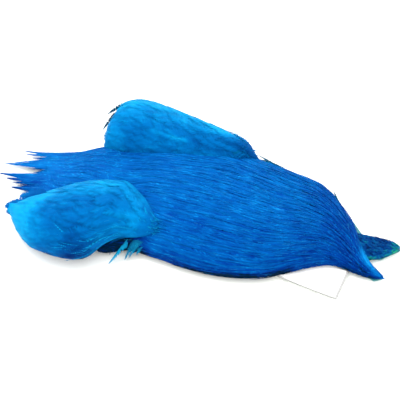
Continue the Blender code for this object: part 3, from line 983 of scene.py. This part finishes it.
def head_flock():
    """Short feathers like scales, all over the far point."""
    root_x, root_turn = rooted_rows(
        HEAD_FORM, 153.6, 116, (-1.4, 1.4), spacing=lambda x: 1.7, step=lambda x: 1.6, stray=0.5
    )
    count = len(root_x)
    return dict(
        root_x=root_x, root_turn=root_turn, tip_x=root_x - random.uniform(4.5, 7.5, count),
        tip_turn=root_turn + random.normal(0.02, 0.06, count), width=random.uniform(2.2, 3.4, count),
        bend=random.normal(0, 0.02, count), lift=random.normal(0.25, 0.1, count),
        sink=np.full(count, 0.9), camber=random.uniform(0.1, 0.3, count),
        curl=random.normal(0.15, 0.15, count), twist=random.normal(0, 0.15, count),
    )


def build_left_head_point(look):
    flock = head_flock()
    piece = Piece()
    templates = variants(111, 6, shoulder_outline, 9, 1.6, first=0.12, ripple=0.03, shaft=0.06)
    piece.add_flock(HEAD_FORM, templates, flock, head_shade)
    add_under_down(piece, LEFT_HEAD_POINT, HEAD_FULLNESS, sink=0.8, shade=0.25, ends=3.5)
    return piece.build("left_head_feathers", look)


def open_feather(template, root, tip, width, bow, roll):
    """A feather's rows from root to tip in the open, bowed upwards and rolled about its shaft."""
    root, tip = np.array(root, float), np.array(tip, float)
    up = np.array([0, 0, bow])
    points = (root, root + (tip - root) * 0.33 + up, root + (tip - root) * 0.7 + up * 0.7, tip)
    return along_path(points, template, width, 0.3, roll)[None]


def build_open_feathers(name, feathers, seed, look, roll, shade=0.5, fill=0.56, narrow=1.0, shaft=0.2):
    """Single feathers; narrow is the width of the vane left of the shaft against the right one."""
    piece = Piece()
    for k, (root, tip, width, bow) in enumerate(feathers):
        template = make_template(
            seed + k, hackle_outline, 40, 1.2,
            first=0.06, parts=3, ripple=0.04, shaft=shaft, split=0.3, fill=fill,
        )
        template.rows[:, 1] *= np.where(template.rows[:, 1] < 0, narrow, 1.0)
        piece.add(open_feather(template, root, tip, width, bow, roll), template, [0.4], [shade])
    return piece.build(name, look)


def far_edge_feathers():
    """The dark feathers past the far patch, each rooted a little under the patch's upper side."""
    return [
        (LEFT_FORM.upper(*root, -1.4), tip, width, bow) for root, tip, width, bow in FAR_EDGE_FEATHERS
    ]


# Skin and card


def build_skin(look):
    """The dried skin, cockled, and tucked under the feathers along the near edge.

    It shows a little beside the neck, and its far tip is narrowed to stay under the far point."""
    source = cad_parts["skin"]
    work = bmesh.new()
    work.from_mesh(source.data)
    work.transform(source.matrix_world)
    for axis, first, last in ((0, -100, 156), (1, -66, 56)):
        normal = Vector((0, 0, 0))
        normal[axis] = 1
        for at in range(first, last, 3):
            spot = normal * (at * MM)
            everything = list(work.verts) + list(work.edges) + list(work.faces)
            bmesh.ops.bisect_plane(work, geom=everything, plane_co=spot, plane_no=normal)
    bmesh.ops.triangulate(work, faces=list(work.faces))
    mesh = bpy.data.meshes.new("skin_sheet")
    work.to_mesh(mesh)
    work.free()
    count = len(mesh.vertices)
    place = np.zeros(count * 3)
    mesh.vertices.foreach_get("co", place)
    place = place.reshape(-1, 3) / MM + MIDDLE
    x, y, z = place.T
    tuck = 2.2 * ease((-y - 28) / 8) * (1 - 0.75 * ease((x - 134) / 6))
    glimpse = 6.5 * np.exp(-((x - 116.5) / 6) ** 2) * ease((y + 8) / 6)
    wave = 0.25 * np.sin(x * 0.21 + y * 0.13) + 0.18 * np.sin(x * 0.47 - y * 0.39 + 1.0)
    narrowed = np.clip(y, -21.4 + 1.15 * (x - 140), -1.2 - 0.26 * (x - 140))
    far_tip = (x > 140) & (y > -26)
    place[:, 0] = x + 1.8 * ease((x - 144) / 9) * ease((y + 22) / 6)
    place[:, 1] = np.where(far_tip, narrowed, y + tuck + glimpse)
    place[:, 2] = np.maximum(z + wave - 0.1, FLOOR_GAP)
    mesh.vertices.foreach_set("co", metres(place).ravel())
    mesh.update()
    return add_object("skin_sheet", mesh, look)


def card_lift(a, b):
    """How far the card stands up at a along it and b behind its front edge."""
    front = 2.2 * (1 - ease(b / 14))
    corner = 2.6 * (1 - ease(a / 12)) * (1 - ease((b - 22) / 8))
    return max(front, corner)


def build_card(look):
    """A thin card with a dark grey cut edge, partly its core and partly painted shade, and bands of
    painted shadow along its right and front edges; its free corner stands up a little.
    """
    turn = math.radians(CARD_TURN)
    left = np.array([-math.cos(turn), math.sin(turn)])
    back = np.array([math.sin(turn), math.cos(turn)])
    across, deep = 40, 24
    alongs, backs = np.linspace(0, CARD_LENGTH, across + 1), np.linspace(0, CARD_DEPTH, deep + 1)
    alongs[1], backs[1] = CARD_SHADOW_BAND
    points, faces, edge_and_shadow_greys = [], [], []
    for layer in (0, 1):
        for a in alongs:
            for b in backs:
                x, y = CARD_CORNER + left * a + back * b
                points.append((x, y, 0.12 + card_lift(a, b) + layer * CARD_THICK))
    row, sheet = deep + 1, (across + 1) * (deep + 1)
    for i in range(across):
        # painted shadow along the front edge, heavier and lighter by turns, and along the right edge
        front_shadow_grey = 0.48 + 0.14 * math.cos(alongs[i] / 6.5)
        right_shadow_grey = 0.72 if i == 0 else 0.0
        for j in range(deep):
            a = i * row + j
            faces.append((a, a + 1, a + row + 1, a + row))
            faces.append((sheet + a, sheet + a + row, sheet + a + row + 1, sheet + a + 1))
            edge_and_shadow_greys += [front_shadow_grey if j == 0 else right_shadow_grey] * 2
    rim = [i * row for i in range(across)]
    rim += [across * row + j for j in range(deep)]
    rim += [i * row + deep for i in range(across, 0, -1)]
    rim += list(range(deep, 0, -1))
    for a, b in zip(rim, rim[1:] + rim[:1]):
        faces.append((a, a + sheet, b + sheet, b))
        # the cut edge: dark grey, partly the card's core and partly painted shade
        edge_and_shadow_greys.append(0.85)
    mesh = bpy.data.meshes.new("card_sheet")
    mesh.from_pydata([tuple(p) for p in metres(points)], [], faces)
    cut_edge_and_shadow = mesh.attributes.new("cut_edge_and_shadow", "FLOAT_COLOR", "CORNER")
    for face, grey in zip(mesh.polygons, edge_and_shadow_greys):
        for loop in face.loop_indices:
            cut_edge_and_shadow.data[loop].color = (grey, grey, grey, 1)
    return add_object("card_sheet", mesh, look)


def card_look():
    """White card with a faint grain, darkened by the grey that its mesh says: painted shade on the cut
    edge, which is partly the card's core, and bands of painted shadow along two edges.
    """
    made, tree, shader = nodes_of("white_card")
    place = put(tree, "ShaderNodeTexCoord")
    noise = put(tree, "ShaderNodeTexNoise")
    noise.inputs["Scale"].default_value = 700
    tree.links.new(place.outputs["Object"], noise.inputs["Vector"])
    cut_edge_and_shadow = put(tree, "ShaderNodeAttribute", attribute_name="cut_edge_and_shadow")
    value = maths(tree, "ADD", cut_edge_and_shadow.outputs["Fac"], times(tree, noise.outputs["Fac"], 0.1))
    colour = ramp_of(tree, value, [(0.0, (0.93, 0.93, 0.92)), (1.0, (0.18, 0.18, 0.175))], "LINEAR")
    tree.links.new(colour, shader.inputs["Base Color"])
    shader.inputs["Roughness"].default_value = 0.8
    return made


# Camera and studio


def make_camera():
    """The photo's view: 16 degrees round from the side and 50 degrees up."""
    azimuth, elevation = math.radians(16), math.radians(50)
    back = Vector((
        math.sin(azimuth) * math.cos(elevation),
        -math.cos(azimuth) * math.cos(elevation),
        math.sin(elevation),
    ))
    camera = bpy.data.objects.new("camera", bpy.data.cameras.new("camera"))
    camera.data.lens = 70
    camera.data.sensor_width = 36
    camera.location = Vector(metres((0, 0, 0))) + back * 0.60
    camera.rotation_euler = back.to_track_quat("Z", "Y").to_euler()
    bpy.context.scene.collection.objects.link(camera)
    bpy.context.scene.camera = camera


def make_studio():
    """A bright white room with one soft light, and a plain surface under the cape."""
    world = bpy.data.worlds.new("studio")
    world.use_nodes = True
    world.node_tree.nodes["Background"].inputs["Color"].default_value = (1, 1, 1, 1)
    world.node_tree.nodes["Background"].inputs["Strength"].default_value = 1.9
    bpy.context.scene.world = world
    key = bpy.data.objects.new("key", bpy.data.lights.new("key", "AREA"))
    key.data.size = 0.5
    key.data.energy = 7.0
    key.location = (-0.35, 0.25, 1.1)
    key.rotation_euler = Vector(key.location).to_track_quat("Z", "Y").to_euler()
    bpy.context.scene.collection.objects.link(key)
    made, tree, shader = nodes_of("floor_white")
    shader.inputs["Base Color"].default_value = (0.93, 0.95, 0.905, 1)
    shader.inputs["Roughness"].default_value = 0.9
    shader.inputs["Specular IOR Level"].default_value = 0.1
    mesh = bpy.data.meshes.new("floor")
    corners = [(-4, -4, -0.0002), (4, -4, -0.0002), (4, 4, -0.0002), (-4, 4, -0.0002)]
    mesh.from_pydata(corners, [], [(0, 1, 2, 3)])
    add_object("floor", mesh, made)
    bpy.context.scene.view_settings.view_transform = "Standard"


def dress(piece, node):
    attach(piece, "root")
    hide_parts(node)


def main():
    make_camera()
    make_studio()
    hackle_look = feather_look("hackle_blue", HACKLE_DYE, (0.02, 0.25, 0.52), dyed_shafts=0.8)
    shoulder_look = feather_look(
        "shoulder_blue", SHOULDER_DYE, (0.02, 0.28, 0.5), roughness=0.6, mottle=0.55, mottle_scale=75.0,
        tone_part=0.12, barb_part=0.05, rim_part=0.06, painted_glints=0.05, dyed_shafts=0.9,
    )
    head_look = feather_look(
        "head_navy", HEAD_DYE, (0.01, 0.15, 0.3), mottle=0.8, mottle_scale=340.0, tone_part=0.4, painted_glints=0.12
    )
    loose_look = feather_look("loose_teal", LOOSE_DYE, (0.004, 0.06, 0.14), dyed_shafts=0.0)
    dark_look = feather_look("edge_navy", EDGE_DYE, (0.005, 0.06, 0.09))
    for piece in build_hackle(hackle_look):
        node = "right_head_point" if piece.name == "right_head_feathers" else "neck_hackle"
        dress(piece, node)
    dress(build_tips(hackle_look), "neck_hackle")
    dress(build_right_shoulder(shoulder_look), "right_shoulder_patch")
    dress(build_left_shoulder(shoulder_look), "left_shoulder_patch")
    dress(build_left_head_point(head_look), "left_head_point")
    quill = build_open_feathers(
        "loose_quill_1", LOOSE_FEATHERS[:1], 121, loose_look, 10, shade=0.9, narrow=0.1, shaft=0.4
    )
    dress(quill, "loose_feather_1")
    quills = build_open_feathers(
        "loose_quill_2", LOOSE_FEATHERS[1:], 122, loose_look, 5, shade=0.72, fill=0.42
    )
    dress(quills, "loose_feather_2")
    edges = build_open_feathers("far_edge_feathers", far_edge_feathers(), 131, dark_look, -35, shade=0.3)
    dress(edges, "left_shoulder_patch")
    strays = build_open_feathers("fork_strays", FORK_STRAYS, 141, dark_look, -20)
    dress(strays, "neck_hackle")
    dress(build_skin(skin_look()), "skin")
    dress(build_card(card_look()), "backing_card")


main()
